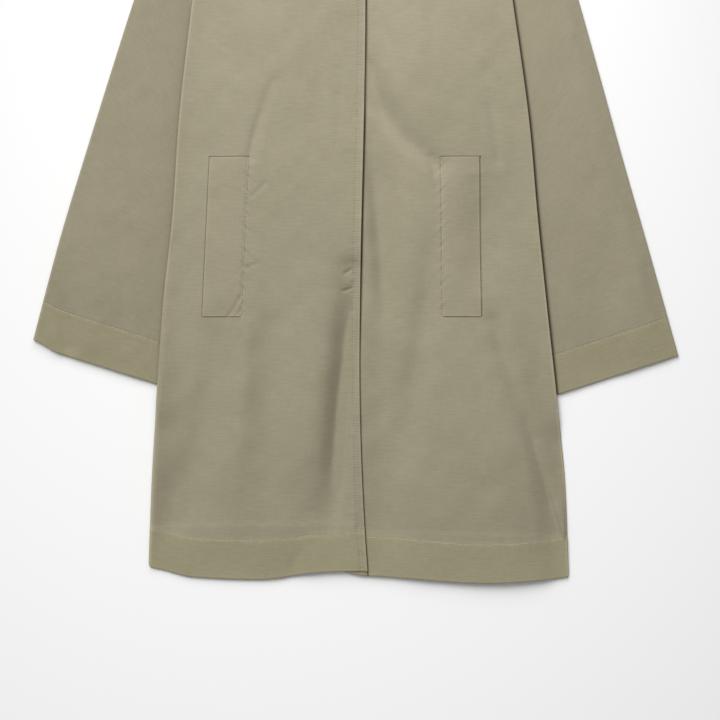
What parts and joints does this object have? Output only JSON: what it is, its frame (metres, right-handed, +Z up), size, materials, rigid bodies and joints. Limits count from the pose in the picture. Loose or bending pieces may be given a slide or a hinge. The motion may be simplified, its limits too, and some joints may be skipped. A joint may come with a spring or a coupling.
{
  "type": "flared coat",
  "caption": "Flared knee-length coat with wide sleeves, concealed front closing and vertical welt pockets, laid flat on its back with its fronts closed.",
  "frame": {"origin": "on the surface the coat lies on, under the middle of its length and width", "axes": "+Y from hem to neck, +X to the viewer's right with the fronts facing up, +Z up"},
  "size_m": [0.8331, 1.0475, 0.0173],
  "materials": {
    "gabardine": "olive khaki cotton gabardine, matt with a soft sheen",
    "welt_gabardine": "olive khaki cotton gabardine, cut double and pressed"
  },
  "bodies": {
    "root": {"back_panel": "gabardine", "front_over": "gabardine", "front_under": "gabardine", "sleeve_left": "gabardine", "sleeve_right": "gabardine", "welt_left": "welt_gabardine", "welt_right": "welt_gabardine", "neck_band": "gabardine"}
  },
  "joints": []
}
